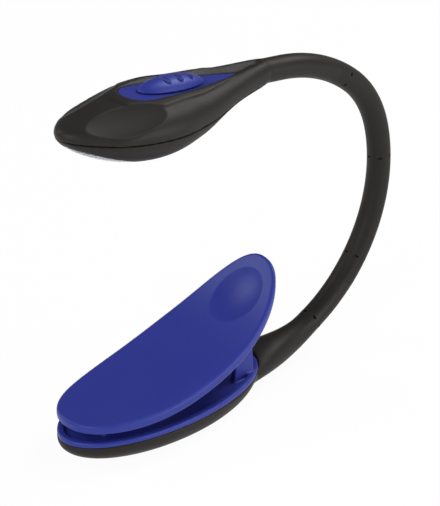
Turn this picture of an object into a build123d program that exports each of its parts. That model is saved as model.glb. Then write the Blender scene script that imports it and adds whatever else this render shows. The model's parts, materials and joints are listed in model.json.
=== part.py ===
from build123d import *
import math
import os

# A cordless clip-on reading lamp: a sprung clip, a bendable neck and a battery head.
# Millimetres. X runs from the tip of the clip back to the neck, Z is up, and the lamp is
# symmetrical about Y = 0. The origin is the middle of the flat underside of the clip.

# Fits
running_clearance = 0.05
seat_clearance = 0.1
moving_clearance = 0.3

# Hull of the clip
hull_half_length = 39.8
hull_half_width = 18.6
hull_depth = 7.0
hull_bilge_radius = 6.0
hull_wall = 1.1
hull_floor = 2.4
hull_sole = 0.1

# Blue tray that sits in the hull
tray_rim_height = 1.8
tray_wall = 1.0
tray_floor = 1.5
tray_edge_radius = 0.6

# Grip ribs of the two jaws
rib_count = 3
rib_pitch = 4.5
rib_front = -28.0
rib_root_width = 2.6
rib_tip_width = 1.2
rib_half_length = 5.8

# Upper jaw: a flat nose that curves up, in two arcs, to the thumb tab
jaw_centre = 3.8
jaw_half_length = 42.4
jaw_half_width = 19.0
jaw_outline_power = 2.3
jaw_thickness = 3.3
jaw_nose_height = 15.2
jaw_bend_start = -26.0
jaw_bend_radius = 121.6
tab_bend_start = 18.6
tab_bend_radius = 66.2
jaw_edge_radius = 0.9
dish_place = 34.0
dish_radius = 8.7
dish_depth = 1.7

# Hinge of the clip
pin_x = 28.5
pin_z = 16.6
pin_radius = 1.25
ear_radius = 3.6
ear_thickness = 2.2
ear_inner = 7.4
ear_foot_half_width = 4.2
lug_radius = 3.4
lug_thickness = 2.3
lug_reach = 9.0

# Torsion spring on the hinge pin
spring_wire_radius = 0.45
spring_coil_radius = 2.4
spring_half_width = 3.9
spring_turns = 5
spring_lower_leg_angle = -85.0
spring_upper_leg_angle = 65.0
spring_lower_leg = 11.7
spring_upper_leg = 15.8

# Screws that hold the tray
screw_radius = 1.0
screw_head_radius = 2.0
screw_head_height = 1.2
screw_head_sink = 0.2
tray_screw_places = (-12.0, 12.0)
tray_screw_reach = 5.6
tray_boss_radius = 2.5
tray_boss_height = 2.2
drive_slot_width = 0.5
drive_slot_depth = 0.5
counterbore_reach = 6.0

# Centreline of the neck: three tangent arcs that start level at the root
root_x = 44.7
root_z = 5.3
lower_bend_radius = 53.9
lower_bend_turn = 104.9
middle_bend_radius = 39.2
middle_bend_turn = 35.4
upper_bend_radius = 63.3
upper_bend_turn = 31.5
neck_radius = 4.0
wire_radius = 1.0
ferrule_radius = 2.2
ferrule_length = 6.0
ferrule_waist_radius = 1.75
ferrule_waist_length = 1.8
ferrule_gap = 0.8

# Sections of the hull's root, by their place along the centreline: half width, half height, drop
root_sections = ((-12.0, 9.5, 3.2, 1.4), (-3.0, 8.4, 4.9, 0.2), (7.0, 6.0, 5.1, 0.0))
root_length = 23.0

# Places along the centreline where the neck bends
bend_places = (26.0, 56.0, 86.0, 116.0, 144.0)
wire_gap_in_socket = 0.5
wire_gap_in_ball = 1.0

# Head, in its own frame: U from the neck to the nose, Y across, W up.
# Sections: U, half width, height of the middle, height above it, depth below it
head_sections = (
    (8.0, 4.0, 0.0, 4.0, 4.0),
    (11.6, 4.9, -0.4, 4.4, 4.8),
    (16.4, 6.1, -0.8, 4.5, 5.4),
    (21.2, 7.5, -1.3, 4.6, 5.9),
    (27.0, 9.3, -2.2, 5.2, 6.6),
    (32.8, 11.2, -3.4, 6.2, 7.6),
    (44.6, 14.7, -5.8, 8.4, 9.7),
    (56.4, 16.7, -7.2, 9.5, 10.8),
    (68.2, 15.7, -7.8, 8.8, 10.1),
    (78.0, 12.4, -8.0, 7.2, 7.9),
    (85.8, 7.4, -7.9, 4.5, 4.8),
    (89.6, 3.7, -7.4, 2.3, 2.5),
)
head_tip = (91.2, -7.0)
head_section_power = 2.25
head_wall = 2.2
cavity_start = 26.0
cavity_end = 84.0
seam_gap = 0.2
seam_nose = (92.5, -8.8)
seam_middle = (56.0, -8.2)
seam_tail = (12.0, -2.7)
cover_start = 12.7

# Dimples on the sides of the head
dimple_centre = (73.3, 11.5, -0.7)
dimple_half_length = 21.0
dimple_half_width = 7.8
dimple_half_depth = 3.2
dimple_droop = 10.0
dimple_lean = 31.0
dimple_toe = 12.6

# Clear window under the nose: everything below a slanted plane
lens_line_nose = (92.0, -9.9)
lens_slope = 14.4
lens_gap = 0.1

# Blue inlay, flat in the foot of a scoop with sloping black walls and a raised surround
inlay_nose = 66.3
inlay_tail = 19.5
inlay_nose_radius = 6.4
inlay_top = 1.1
inlay_thickness = 1.4
scoop_slope = 60.0
scoop_height = 4.0
surround_margin = 4.6
surround_rise = 0.5
surround_floor = -4.0
seat_wall = 1.2

# Slider on the inlay: a long dome
slider_place = 47.2
slider_half_length = 13.4
slider_half_width = 5.2
slider_height = 4.4
slider_sink = 0.8
slider_travel = 4.0
groove_radius = 1.0
groove_depth = 1.5
groove_pitch = 5.0
groove_first = 51.0
groove_count = 3
stem_length = 4.0
stem_width = 3.0
stem_foot = 0.4
lever_width = 1.6
lever_foot = -3.3

# Switch and circuit board
board_top = -4.6
board_thickness = 1.2
board_rear = 36.5
board_front = 78.0
board_half_width = 7.4
board_corner_radius = 2.0
switch_length = 10.0
switch_width = 5.4
switch_height = 2.5
switch_slot_depth = 1.5

# Coin cells in their cradle
cell_place = 54.0
cell_radius = 10.0
cell_height = 1.6
cell_edge_radius = 0.4
cradle_wall = 1.3
cradle_roof = 1.1
cradle_skirt = 3.2
contact_thickness = 0.3
contact_width = 5.0
contact_length = 14.0
contact_leg = 3.0
cell_room = 0.3

# Light source
led_place = 73.0
led_radius = 2.5
led_flange_radius = 2.9
led_flange_height = 1.0
led_height = 5.0
reflector_wall = 0.7
reflector_collar = 2.6
reflector_mouth_radius = 5.0
reflector_depth = 5.4

# Screw that holds the lower cover
cover_screw_place = 32.8
cover_post_radius = 2.3
cover_screw_tip = -1.8
cover_screw_seat = -9.4


def polar(radius, degrees):
    """Point in the XZ plane, as x and z, at an angle above +X."""
    return radius * math.cos(math.radians(degrees)), radius * math.sin(math.radians(degrees))


# Centreline of the neck

def bend(centre, radius, start, turn):
    """One arc of the centreline, with its length."""
    return {"centre": centre, "radius": radius, "start": start, "length": radius * math.radians(turn)}


def shifted_centre(centre, radius, next_radius, degrees):
    """Centre of the arc that follows tangentially at an angle."""
    step_x, step_z = polar(radius - next_radius, degrees)
    return centre[0] + step_x, centre[1] + step_z


lower_end = -90.0 + lower_bend_turn
middle_end = lower_end + middle_bend_turn
lower_centre = (root_x, root_z + lower_bend_radius)
middle_centre = shifted_centre(lower_centre, lower_bend_radius, middle_bend_radius, lower_end)
upper_centre = shifted_centre(middle_centre, middle_bend_radius, upper_bend_radius, middle_end)
neck_bends = (
    bend(lower_centre, lower_bend_radius, -90.0, lower_bend_turn),
    bend(middle_centre, middle_bend_radius, lower_end, middle_bend_turn),
    bend(upper_centre, upper_bend_radius, middle_end, upper_bend_turn),
)
neck_length = sum(one["length"] for one in neck_bends)


def neck_frame(place):
    """Point and direction of the centreline; it runs on straight past both ends."""
    if place < 0:
        return Vector(root_x + place, 0, root_z), Vector(1, 0, 0)
    left = place
    for one in neck_bends:
        if left <= one["length"] or one is neck_bends[-1]:
            break
        left -= one["length"]
    over = max(0.0, left - one["length"])
    degrees = one["start"] + math.degrees((left - over) / one["radius"])
    x, z = polar(one["radius"], degrees)
    along_x, along_z = polar(1.0, degrees + 90.0)
    direction = Vector(along_x, 0, along_z)
    return Vector(one["centre"][0] + x, 0, one["centre"][1] + z) + direction * over, direction


def neck_plane(place):
    """Plane across the neck, its normal along the centreline and its X across the lamp."""
    point, direction = neck_frame(place)
    return Plane(origin=point, x_dir=(0, 1, 0), z_dir=direction)


def neck_path(start, end):
    """The centreline between two places, as straight runs and arcs."""
    stops = [0.0]
    for one in neck_bends:
        stops.append(stops[-1] + one["length"])
    cuts = [start] + [stop for stop in stops if start < stop < end] + [end]
    edges = []
    for first, last in zip(cuts, cuts[1:]):
        points = [neck_frame(first + (last - first) * part)[0] for part in (0.0, 0.5, 1.0)]
        if last <= 0 or first >= neck_length:
            edges.append(Line(points[0], points[2]))
        else:
            edges.append(ThreePointArc(*points))
    return Wire(edges)


def neck_tube(start, end, radius):
    """A round bar along the centreline."""
    return sweep(neck_plane(start) * Circle(radius), path=neck_path(start, end))


def neck_ball(place):
    """Rounded end of a neck piece, turned back towards the root."""
    return neck_plane(place) * Sphere(neck_radius, arc_size1=-90, arc_size2=0, align=None)


def neck_socket(place):
    """Hollow that a rounded end turns in."""
    return neck_plane(place) * Sphere(neck_radius + moving_clearance)


# Clip

def bowl(half_length, half_width, bottom, top, radius):
    """Oval bowl-shaped solid: a round one with a rounded lower edge, drawn out lengthwise."""
    body = extrude(Pos(0, 0, bottom) * Circle(half_width), amount=top - bottom)
    body = fillet(body.faces().sort_by(Axis.Z)[0].edges(), radius)
    return scale(body, by=(half_length / half_width, 1, 1))


rim_top = hull_depth + tray_rim_height
cavity_inset = hull_wall
tray_inset = cavity_inset + seat_clearance
tray_bottom = hull_floor + seat_clearance
tray_floor_top = tray_bottom + tray_floor
bowl_inset = tray_inset + tray_wall
rib_top = rim_top - seat_clearance
jaw_underside = jaw_nose_height - jaw_thickness


def inset_bowl(inset, bottom, top):
    """The hull's oval drawn in by a wall, with the hull's bilge drawn in with it."""
    return bowl(hull_half_length - inset, hull_half_width - inset, bottom, top, hull_bilge_radius - inset)


def screw(place, underside, tip):
    """Pan-head screw driven upwards."""
    head = Pos(place, 0, underside) * Cylinder(
        screw_head_radius, screw_head_height, align=(Align.CENTER, Align.CENTER, Align.MIN))
    shank_length = tip - underside - screw_head_height
    shank = Pos(place, 0, underside + screw_head_height) * Cylinder(
        screw_radius, shank_length, align=(Align.CENTER, Align.CENTER, Align.MIN))
    slot = Pos(place, 0, underside) * Box(
        3 * screw_head_radius, drive_slot_width, 2 * drive_slot_depth)
    return head + shank - slot


def screw_hole(place, underside, tip):
    """Stepped hole for a screw, open below."""
    bore = Pos(place, 0, underside) * Cylinder(
        screw_radius + running_clearance, tip - underside, align=(Align.CENTER, Align.CENTER, Align.MIN))
    counterbore = Pos(place, 0, underside + screw_head_height) * Cylinder(
        screw_head_radius + seat_clearance, counterbore_reach, align=(Align.CENTER, Align.CENTER, Align.MAX))
    return bore + counterbore


def make_base_shell():
    """Hull with the root of the neck, which ends in the first socket. Its sole is planed flat."""
    hull = bowl(hull_half_length, hull_half_width, -hull_sole, hull_depth, hull_bilge_radius)
    below = Box(4 * hull_half_length, 4 * hull_half_width, hull_depth,
                align=(Align.CENTER, Align.CENTER, Align.MAX))
    hull -= below
    sections = []
    for place, half_width, half_height, drop in root_sections:
        sections.append(neck_plane(place) * (Pos(0, -drop, 0) * Ellipse(half_width, half_height)))
    sections.append(neck_plane(root_length) * Circle(neck_radius))
    root = loft(sections) + neck_tube(root_length, bend_places[0], neck_radius)
    shell = hull + root
    shell -= inset_bowl(cavity_inset, hull_floor, hull_depth + hull_bilge_radius)
    rim_room = Ellipse(hull_half_length + seat_clearance, hull_half_width + seat_clearance)
    shell -= extrude(Pos(0, 0, hull_depth) * rim_room, amount=hull_depth)
    shell -= neck_socket(bend_places[0])
    shell -= neck_tube(wire_gap_in_socket, bend_places[0], wire_radius + running_clearance)
    shell -= neck_tube(wire_gap_in_socket, wire_gap_in_socket + ferrule_length + 2 * running_clearance,
                       ferrule_radius + running_clearance)
    for place in tray_screw_places:
        shell -= screw_hole(place, screw_head_sink, tray_screw_reach)
    return shell


def rib(x, root_z_level, tip_z_level):
    """Tapered grip rib across the clip."""
    profile = Polygon(
        (x - rib_root_width / 2, root_z_level), (x + rib_root_width / 2, root_z_level),
        (x + rib_tip_width / 2, tip_z_level), (x - rib_tip_width / 2, tip_z_level), align=None)
    return extrude(Plane.XZ * profile, amount=rib_half_length, both=True)


def hinge_cheek(inner, thickness, radius, foot):
    """A rounded cheek round the hinge pin, on both sides, with a straight-sided foot."""
    profile = make_hull((Pos(pin_x, pin_z) * Circle(radius) + foot).edges())
    cheek = extrude(Plane.XZ * profile, amount=thickness)
    near = Pos(0, -inner, 0) * cheek
    return near + mirror(near, about=Plane.XZ)


def pin_bore(radius, half_length):
    """Round bar along the hinge axis."""
    return Pos(pin_x, 0, pin_z) * (Rot(90, 0, 0) * Cylinder(radius, 2 * half_length))


def make_clip_tray():
    """Blue lower jaw: rim, bowl, hinge ears, screw bosses and grip ribs."""
    rim = extrude(Pos(0, 0, hull_depth) * Ellipse(hull_half_length, hull_half_width), amount=tray_rim_height)
    rim = fillet(rim.faces().sort_by(Axis.Z)[-1].edges(), tray_edge_radius)
    tray = rim + inset_bowl(tray_inset, tray_bottom, hull_depth + tray_edge_radius)
    tray -= inset_bowl(bowl_inset, tray_floor_top, rim_top + hull_bilge_radius)
    foot_height = rim_top - tray_floor_top + tray_floor / 2
    foot = Pos(pin_x, rim_top - foot_height / 2) * Rectangle(2 * ear_foot_half_width, foot_height)
    ears = hinge_cheek(ear_inner, ear_thickness, ear_radius, foot)
    ears &= inset_bowl(tray_inset, tray_bottom, pin_z + 2 * ear_radius)
    tray += ears
    for place in tray_screw_places:
        tray += Pos(place, 0, tray_floor_top) * Cylinder(
            tray_boss_radius, tray_boss_height, align=(Align.CENTER, Align.CENTER, Align.MIN))
        tray -= screw_hole(place, screw_head_sink, tray_screw_reach)
    for index in range(rib_count):
        tray += rib(rib_front + index * rib_pitch, tray_floor_top - tray_floor / 2, rib_top)
    tray -= pin_bore(pin_radius + running_clearance, hull_half_width)
    return tray


def jaw_profile(inset):
    """Top or, drawn in by the thickness, underside of the jaw in side view, from nose to tab."""
    level = jaw_nose_height - inset
    bend_centre = (jaw_bend_start, jaw_nose_height + jaw_bend_radius)
    first_turn = math.degrees(math.asin((tab_bend_start - jaw_bend_start) / jaw_bend_radius))
    step_x, step_z = polar(jaw_bend_radius - tab_bend_radius, first_turn - 90)
    tab_centre = (bend_centre[0] + step_x, bend_centre[1] + step_z)
    tab_reach = jaw_centre + jaw_half_length + jaw_thickness
    last_turn = math.degrees(math.asin((tab_reach - tab_centre[0]) / tab_bend_radius))
    nose = (jaw_centre - jaw_half_length - jaw_thickness, level)
    start = (jaw_bend_start, level)

    def on_arc(centre, radius, turn):
        x, z = polar(radius + inset, turn - 90)
        return centre[0] + x, centre[1] + z

    knee = on_arc(bend_centre, jaw_bend_radius, first_turn)
    knee_middle = on_arc(bend_centre, jaw_bend_radius, first_turn / 2)
    end_middle = on_arc(tab_centre, tab_bend_radius, (first_turn + last_turn) / 2)
    end = on_arc(tab_centre, tab_bend_radius, last_turn)
    edges = [Line(nose, start), ThreePointArc(start, knee_middle, knee), ThreePointArc(knee, end_middle, end)]
    return edges, nose, end


def jaw_top_frame(x):
    """Point and upward normal on the tab's top at x."""
    first_turn = math.asin((tab_bend_start - jaw_bend_start) / jaw_bend_radius)
    step_x, step_z = polar(jaw_bend_radius - tab_bend_radius, math.degrees(first_turn) - 90)
    centre_x = jaw_bend_start + step_x
    centre_z = jaw_nose_height + jaw_bend_radius + step_z
    turn = math.asin((x - centre_x) / tab_bend_radius)
    normal = Vector(-math.sin(turn), 0, math.cos(turn))
    return Vector(centre_x, 0, centre_z) - normal * tab_bend_radius, normal


def superellipse_points(half_length, half_width, power, count):
    """Points of an oval that is fuller than an ellipse."""
    points = []
    for index in range(count):
        angle = 2 * math.pi * index / count
        along = math.copysign(abs(math.cos(angle)) ** (2 / power), math.cos(angle))
        across = math.copysign(abs(math.sin(angle)) ** (2 / power), math.sin(angle))
        points.append((half_length * along, half_width * across))
    return points


def make_upper_jaw():
    """Blue upper jaw with its thumb dish, hinge lugs and grip ribs."""
    top, top_nose, top_end = jaw_profile(0.0)
    under, under_nose, under_end = jaw_profile(jaw_thickness)
    side = make_face(top + under + [Line(top_nose, under_nose), Line(top_end, under_end)])
    plate = extrude(Plane.XZ * side, amount=2 * jaw_half_width, both=True)
    outline = superellipse_points(jaw_half_length, jaw_half_width, jaw_outline_power, 20)
    plan = make_face(Spline(outline, periodic=True))
    jaw = plate & (Pos(jaw_centre, 0, 0) * extrude(plan, amount=3 * jaw_half_length))
    rims = [edge for edge in jaw.edges() if edge.geom_type != GeomType.LINE]
    jaw = fillet(rims, jaw_edge_radius)
    point, normal = jaw_top_frame(dish_place)
    ball_radius = (dish_radius ** 2 + dish_depth ** 2) / (2 * dish_depth)
    centre = point + normal * (ball_radius - dish_depth)
    jaw -= Pos(*centre) * Sphere(ball_radius)
    lug_root, lug_normal = jaw_top_frame(pin_x)
    middle = lug_root - lug_normal * (jaw_thickness / 2)
    slope = math.degrees(math.atan2(-lug_normal.X, lug_normal.Z))
    foot = Pos(middle.X, middle.Z) * (Rot(0, 0, slope) * Rectangle(lug_reach, jaw_thickness / 2))
    lug_inner = ear_inner - moving_clearance - lug_thickness
    jaw += hinge_cheek(lug_inner, lug_thickness, lug_radius, foot)
    for index in range(rib_count):
        place = rib_front + index * rib_pitch
        jaw += rib(place, jaw_underside + jaw_thickness / 2, rib_top + moving_clearance)
    jaw -= pin_bore(pin_radius + running_clearance, hull_half_width)
    return jaw


def make_hinge_pin():
    """Steel pin through the ears and lugs, with eased ends."""
    pin = pin_bore(pin_radius, ear_inner + ear_thickness - moving_clearance)
    ends = pin.edges().filter_by(GeomType.CIRCLE)
    return chamfer(ends, pin_radius / 5)


# Torsion spring

def spring_point(degrees, y):
    """Point on the coil at an angle round the hinge pin."""
    x, z = polar(spring_coil_radius, degrees)
    return Vector(pin_x + x, y, pin_z + z)


def spring_heading(degrees, climb):
    """Direction of the wire on the coil; climb is its travel along Y for each radian."""
    x, z = polar(spring_coil_radius, degrees + 90)
    return Vector(x, climb, z).normalized()


def biarc(start, start_heading, end, end_heading):
    """Two tangent arcs between two points with given headings."""
    chord = end - start
    both = start_heading + end_heading
    spread = 2 * (1 - start_heading.dot(end_heading))
    lead = chord.dot(both)
    reach = (-lead + math.sqrt(lead * lead + spread * chord.dot(chord))) / spread
    first_corner = start + start_heading * reach
    last_corner = end - end_heading * reach
    middle = (first_corner + last_corner) * 0.5
    heading = (last_corner - first_corner).normalized()
    return [TangentArc(start, middle, tangent=start_heading), TangentArc(middle, end, tangent=heading)]


def make_torsion_spring():
    """Wound wire with a leg on the tray and a leg under the thumb tab."""
    first = spring_lower_leg_angle + 90
    last = spring_upper_leg_angle - 90 + 360 * spring_turns
    climb = 2 * spring_half_width / math.radians(last - first)
    quarters = math.ceil((last - first) / 90)
    angles = [first + (last - first) * index / quarters for index in range(quarters + 1)]
    levels = [-spring_half_width + climb * math.radians(angle - first) for angle in angles]
    points = [spring_point(angle, level) for angle, level in zip(angles, levels)]
    headings = [spring_heading(angle, climb) for angle in angles]
    edges = [Line(points[0] - headings[0] * spring_lower_leg, points[0])]
    for index in range(quarters):
        edges += biarc(points[index], headings[index], points[index + 1], headings[index + 1])
    edges.append(Line(points[-1], points[-1] + headings[-1] * spring_upper_leg))
    path = Wire(edges)
    start = Plane(origin=path @ 0, z_dir=path % 0)
    samples = [path @ (index / 400) for index in range(401)]
    spacing = path.length / 400
    skip = math.ceil(math.pi * spring_coil_radius / spacing)
    nearest = min((samples[i] - samples[j]).length for i in range(401) for j in range(i + skip, 401))
    print("spring: least gap to itself", round(nearest - 2 * spring_wire_radius, 2), "mm")
    return sweep(start * Circle(spring_wire_radius), path=path)


def make_tray_screws():
    """The screws under the hull, as one group."""
    return Compound(children=[screw(place, screw_head_sink, tray_screw_reach - seat_clearance)
                              for place in tray_screw_places])


# Neck

def make_neck_sleeve(index):
    """One length of the rubber neck, rounded below and hollowed above."""
    start = bend_places[index]
    last = index + 1 == len(bend_places)
    end = neck_length + head_sections[0][0] if last else bend_places[index + 1]
    sleeve = neck_tube(start, end, neck_radius) + neck_ball(start)
    if not last:
        sleeve -= neck_socket(end)
    return sleeve - neck_tube(start - neck_radius - moving_clearance, end, wire_radius + running_clearance)


def make_core_wire(index):
    """The soft wire inside one length of the neck."""
    first = index == 0
    last = index == len(bend_places)
    start = wire_gap_in_socket + running_clearance
    if not first:
        start = bend_places[index - 1] - neck_radius + wire_gap_in_ball
    end = ferrule_end
    if not last:
        end = bend_places[index] - neck_radius - moving_clearance - wire_gap_in_socket
    return neck_tube(start, end, wire_radius)


ferrule_start = neck_length + head_sections[0][0] + ferrule_gap
ferrule_end = ferrule_start + ferrule_length


def make_ferrule(start):
    """Crimped collar on an end of the wire, with a waist where it is squeezed."""
    collar = neck_tube(start, start + ferrule_length, ferrule_radius)
    waist_start = start + (ferrule_length - ferrule_waist_length) / 2
    waist_end = waist_start + ferrule_waist_length
    waist = neck_tube(waist_start, waist_end, 2 * ferrule_radius)
    waist -= neck_tube(waist_start, waist_end, ferrule_waist_radius)
    return collar - waist - neck_tube(start, start + ferrule_length, wire_radius + running_clearance)


# Head

widest = max(head_sections, key=lambda section: section[1])
head_origin, head_direction = neck_frame(neck_length)
head_plane = Plane(origin=head_origin, x_dir=head_direction, z_dir=Vector(0, 1, 0).cross(head_direction))


def head_section(section, wall):
    """Outline across the head: full at the shoulders, drawn in by a wall."""
    place, half_width, middle, height, depth = section
    points = []
    for across, up in superellipse_points(1.0, 1.0, head_section_power, 16):
        tall = height if up > 0 else depth
        points.append((across * (half_width - wall), up * (tall - wall)))
    plane = Plane(origin=(place, 0, middle), x_dir=(0, 1, 0), z_dir=(1, 0, 0))
    return plane * make_face(Spline(points, periodic=True))


def section_at(place):
    """A section between two of the listed ones, in proportion."""
    for first, last in zip(head_sections, head_sections[1:]):
        if first[0] <= place <= last[0]:
            part = (place - first[0]) / (last[0] - first[0])
            return tuple(a + (b - a) * part for a, b in zip(first, last))
    raise ValueError("no section of the head there")


def head_form(inset):
    """Outer form of the head, or a form drawn in from it."""
    sections = [head_section(section, inset) for section in head_sections]
    return loft(sections + [Vertex(head_tip[0] - inset, 0, head_tip[1])])


def cover_zone(drop):
    """Everything below the seam, ahead of the cover's rear edge."""
    floor = widest[2] - 2 * widest[4]
    nose = (seam_nose[0], seam_nose[1] - drop)
    middle = (seam_middle[0], seam_middle[1] - drop)
    tail = (seam_tail[0], seam_tail[1] - drop)
    edges = [ThreePointArc(nose, middle, tail), Line(tail, (tail[0], floor)),
             Line((tail[0], floor), (nose[0], floor)), Line((nose[0], floor), nose)]
    zone = extrude(Plane.XZ * make_face(edges), amount=2 * widest[1], both=True)
    start = cover_start + drop
    return zone & (Pos(start, 0, floor) * Box(
        2 * head_tip[0], 4 * widest[1], -2 * floor, align=(Align.MIN, Align.CENTER, Align.MIN)))


def lens_zone(drop):
    """Everything below the slanted edge of the clear window."""
    size = 2 * head_tip[0]
    block = Box(size, size, size, align=(Align.CENTER, Align.CENTER, Align.MAX))
    return Pos(lens_line_nose[0], 0, lens_line_nose[1] - drop) * (Rot(0, -lens_slope, 0) * block)


def teardrop(nose, radius, tail):
    """Inlay outline: a round nose with tangent sides that meet in a point."""
    start = (nose - radius, radius)
    end = (nose - radius, -radius)
    edges = [ThreePointArc(start, (nose, 0), end), TangentArc(end, (tail, 0), tangent=(-1, 0)),
             TangentArc(start, (tail, 0), tangent=(-1, 0))]
    return make_face(edges)


def inlay_outline(margin):
    """Outline of the inlay, drawn out by a margin."""
    return teardrop(inlay_nose + margin, inlay_nose_radius + margin, inlay_tail - margin)


def block_at(place, length, width, bottom, top):
    """Upright block on the middle line of the head."""
    return Pos(place, 0, bottom) * Box(
        length, width, top - bottom, align=(Align.CENTER, Align.CENTER, Align.MIN))


lever_place = slider_place
switch_slot_place = slider_place + slider_travel / 2
shell_slot_length = lever_width + slider_travel + 2 * moving_clearance
inlay_slot_length = stem_length + slider_travel + 2 * moving_clearance
switch_top = board_top + switch_height
inlay_bottom = inlay_top - inlay_thickness
seat_bottom = inlay_bottom - seat_clearance - seat_wall
slider_bottom = inlay_top + moving_clearance
lever_top = slider_bottom + slider_height / 3
board_bottom = board_top - board_thickness
cradle_top = board_bottom - seat_clearance
cell_top = cradle_top - cradle_roof - contact_thickness - 2 * running_clearance


def head_cavity():
    """Inner form of the head, flat above where the inlay is seated."""
    inside = [section for section in head_sections if cavity_start < section[0] < cavity_end]
    sections = [section_at(cavity_start)] + inside + [section_at(cavity_end)]
    room = loft([head_section(section, head_wall) for section in sections])
    seat = extrude(inlay_outline(seat_wall), amount=head_tip[0])
    return room - Pos(0, 0, seat_bottom) * seat


def along_head(start, length, radius):
    """Round bar along the head, in line with the neck."""
    bar = Cylinder(radius, length, align=(Align.CENTER, Align.CENTER, Align.MIN))
    return Pos(start, 0, 0) * (Rot(0, 90, 0) * bar)


def make_head_upper_shell(shell, cavity):
    """Black upper half of the head with dimples, raised surround, slot and screw post."""
    raised = Pos(0, 0, surround_floor) * extrude(inlay_outline(surround_margin), amount=-4 * surround_floor)
    raised &= head_form(-surround_rise)
    upper = shell + (raised - cavity) - cover_zone(0.0)
    dimple = scale(Sphere(1.0), by=(dimple_half_length, dimple_half_width, dimple_half_depth))
    dimple = Rot(0, dimple_droop, 0) * (Rot(-dimple_lean, 0, 0) * dimple)
    dimple = Pos(*dimple_centre) * (Rot(0, 0, -dimple_toe) * dimple)
    upper -= dimple
    upper -= mirror(dimple, about=Plane.XZ)
    scoop = extrude(inlay_outline(seat_clearance), amount=scoop_height, taper=-scoop_slope)
    upper -= Pos(0, 0, inlay_top) * scoop
    upper -= Pos(0, 0, inlay_bottom - seat_clearance) * extrude(
        inlay_outline(seat_clearance), amount=inlay_thickness + 2 * seat_clearance)
    upper -= block_at(switch_slot_place, inlay_slot_length, stem_width + 2 * moving_clearance,
                      switch_top, inlay_top)
    post = Pos(cover_screw_place, 0, 0) * Cylinder(cover_post_radius, 2 * head_tip[0])
    upper += (post & cavity) - cover_zone(0.0)
    upper -= screw_hole(cover_screw_place, cover_screw_seat, cover_screw_tip)
    upper -= along_head(head_sections[0][0], ferrule_gap + ferrule_length, wire_radius + running_clearance)
    return upper - along_head(head_sections[0][0] + ferrule_gap - running_clearance,
                              ferrule_length + 2 * running_clearance, ferrule_radius + running_clearance)


def make_head_lower_cover(shell, cavity):
    """Black lower half of the head, cut away under the nose for the lens."""
    cover = (shell & cover_zone(seam_gap)) - lens_zone(0.0)
    boss = Pos(cover_screw_place, 0, 0) * Cylinder(cover_post_radius + head_wall / 2, 2 * head_tip[0])
    cover += boss & cavity & cover_zone(seam_gap)
    return cover - screw_hole(cover_screw_place, cover_screw_seat, cover_screw_tip)


def make_lens(shell):
    """Clear window that closes the front of the lower cover."""
    return shell & cover_zone(seam_gap) & lens_zone(lens_gap)


def make_slider_plate():
    """Blue teardrop inlay with the slot that the slider runs in."""
    plate = Pos(0, 0, inlay_bottom) * extrude(inlay_outline(0.0), amount=inlay_thickness)
    return plate - block_at(switch_slot_place, inlay_slot_length, stem_width + 2 * moving_clearance,
                            inlay_bottom - inlay_thickness, slider_bottom)


def make_slider_button():
    """Blue thumb slider with grooves across its back and a stem through the inlay."""
    dome = scale(Sphere(1.0), by=(slider_half_length, slider_half_width, slider_height))
    button = Pos(slider_place, 0, slider_bottom - slider_sink) * dome
    button &= block_at(slider_place, 4 * slider_half_length, 4 * slider_half_width, slider_bottom,
                       slider_bottom + 2 * slider_height)
    groove_level = slider_bottom - slider_sink + slider_height - groove_depth + groove_radius
    for index in range(groove_count):
        place = groove_first - index * groove_pitch
        groove = Rot(90, 0, 0) * Cylinder(groove_radius, 4 * slider_half_width)
        button -= Pos(place, 0, groove_level) * groove
    button += block_at(lever_place, stem_length, stem_width, stem_foot, slider_bottom)
    socket = lever_width + 2 * seat_clearance
    return button - block_at(lever_place, socket, socket, lever_foot, lever_top + seat_clearance)


def make_switch_lever():
    """Peg of the switch that the slider carries along."""
    peg = block_at(lever_place, lever_width, lever_width, lever_foot, lever_top)
    return chamfer(peg.edges().filter_by(Axis.Z), lever_width / 8)


def make_switch_body():
    """Slide switch on the board, with a slot along its top for the peg."""
    body = block_at(switch_slot_place, switch_length, switch_width, board_top, switch_top)
    body = chamfer(body.edges().filter_by(Axis.Z), switch_width / 10)
    return body - block_at(switch_slot_place, shell_slot_length, lever_width + 2 * moving_clearance,
                           switch_top - switch_slot_depth, switch_top)


def make_circuit_board():
    """Board that carries the switch, the light source and the cells."""
    length = board_front - board_rear
    outline = RectangleRounded(length, 2 * board_half_width, board_corner_radius)
    middle = Pos((board_front + board_rear) / 2, 0, board_bottom)
    return middle * extrude(outline, amount=board_thickness)


def upright_cylinder(place, radius, top, height):
    """Upright cylinder on the middle line of the head, measured down from its top."""
    return Pos(place, 0, top) * Cylinder(radius, height, align=(Align.CENTER, Align.CENTER, Align.MAX))


def make_led():
    """Domed light source that points down."""
    flange = upright_cylinder(led_place, led_flange_radius, board_bottom, led_flange_height)
    barrel_length = led_height - led_radius
    barrel = upright_cylinder(led_place, led_radius, board_bottom, barrel_length)
    dome = Pos(led_place, 0, board_bottom - barrel_length) * Sphere(
        led_radius, arc_size1=-90, arc_size2=0, align=None)
    return flange + barrel + dome


def make_reflector():
    """Cone that gathers the light towards the lens."""
    inner = led_flange_radius + seat_clearance
    outer = inner + reflector_wall
    mouth = reflector_mouth_radius
    profile = Polygon(
        (inner, 0), (outer, 0), (outer, -reflector_collar), (mouth + reflector_wall, -reflector_depth),
        (mouth, -reflector_depth), (inner, -reflector_collar), align=None)
    cone = revolve(Plane.XZ * profile, axis=Axis.Z)
    return Pos(led_place, 0, board_bottom - seat_clearance) * cone


def make_battery_cradle():
    """Cup under the board that the coin cells push up into."""
    outer = cell_radius + cell_room + cradle_wall
    cup = upright_cylinder(cell_place, outer, cradle_top, cradle_roof + cradle_skirt)
    return cup - upright_cylinder(cell_place, outer - cradle_wall, cradle_top - cradle_roof, 2 * cradle_skirt)


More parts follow.
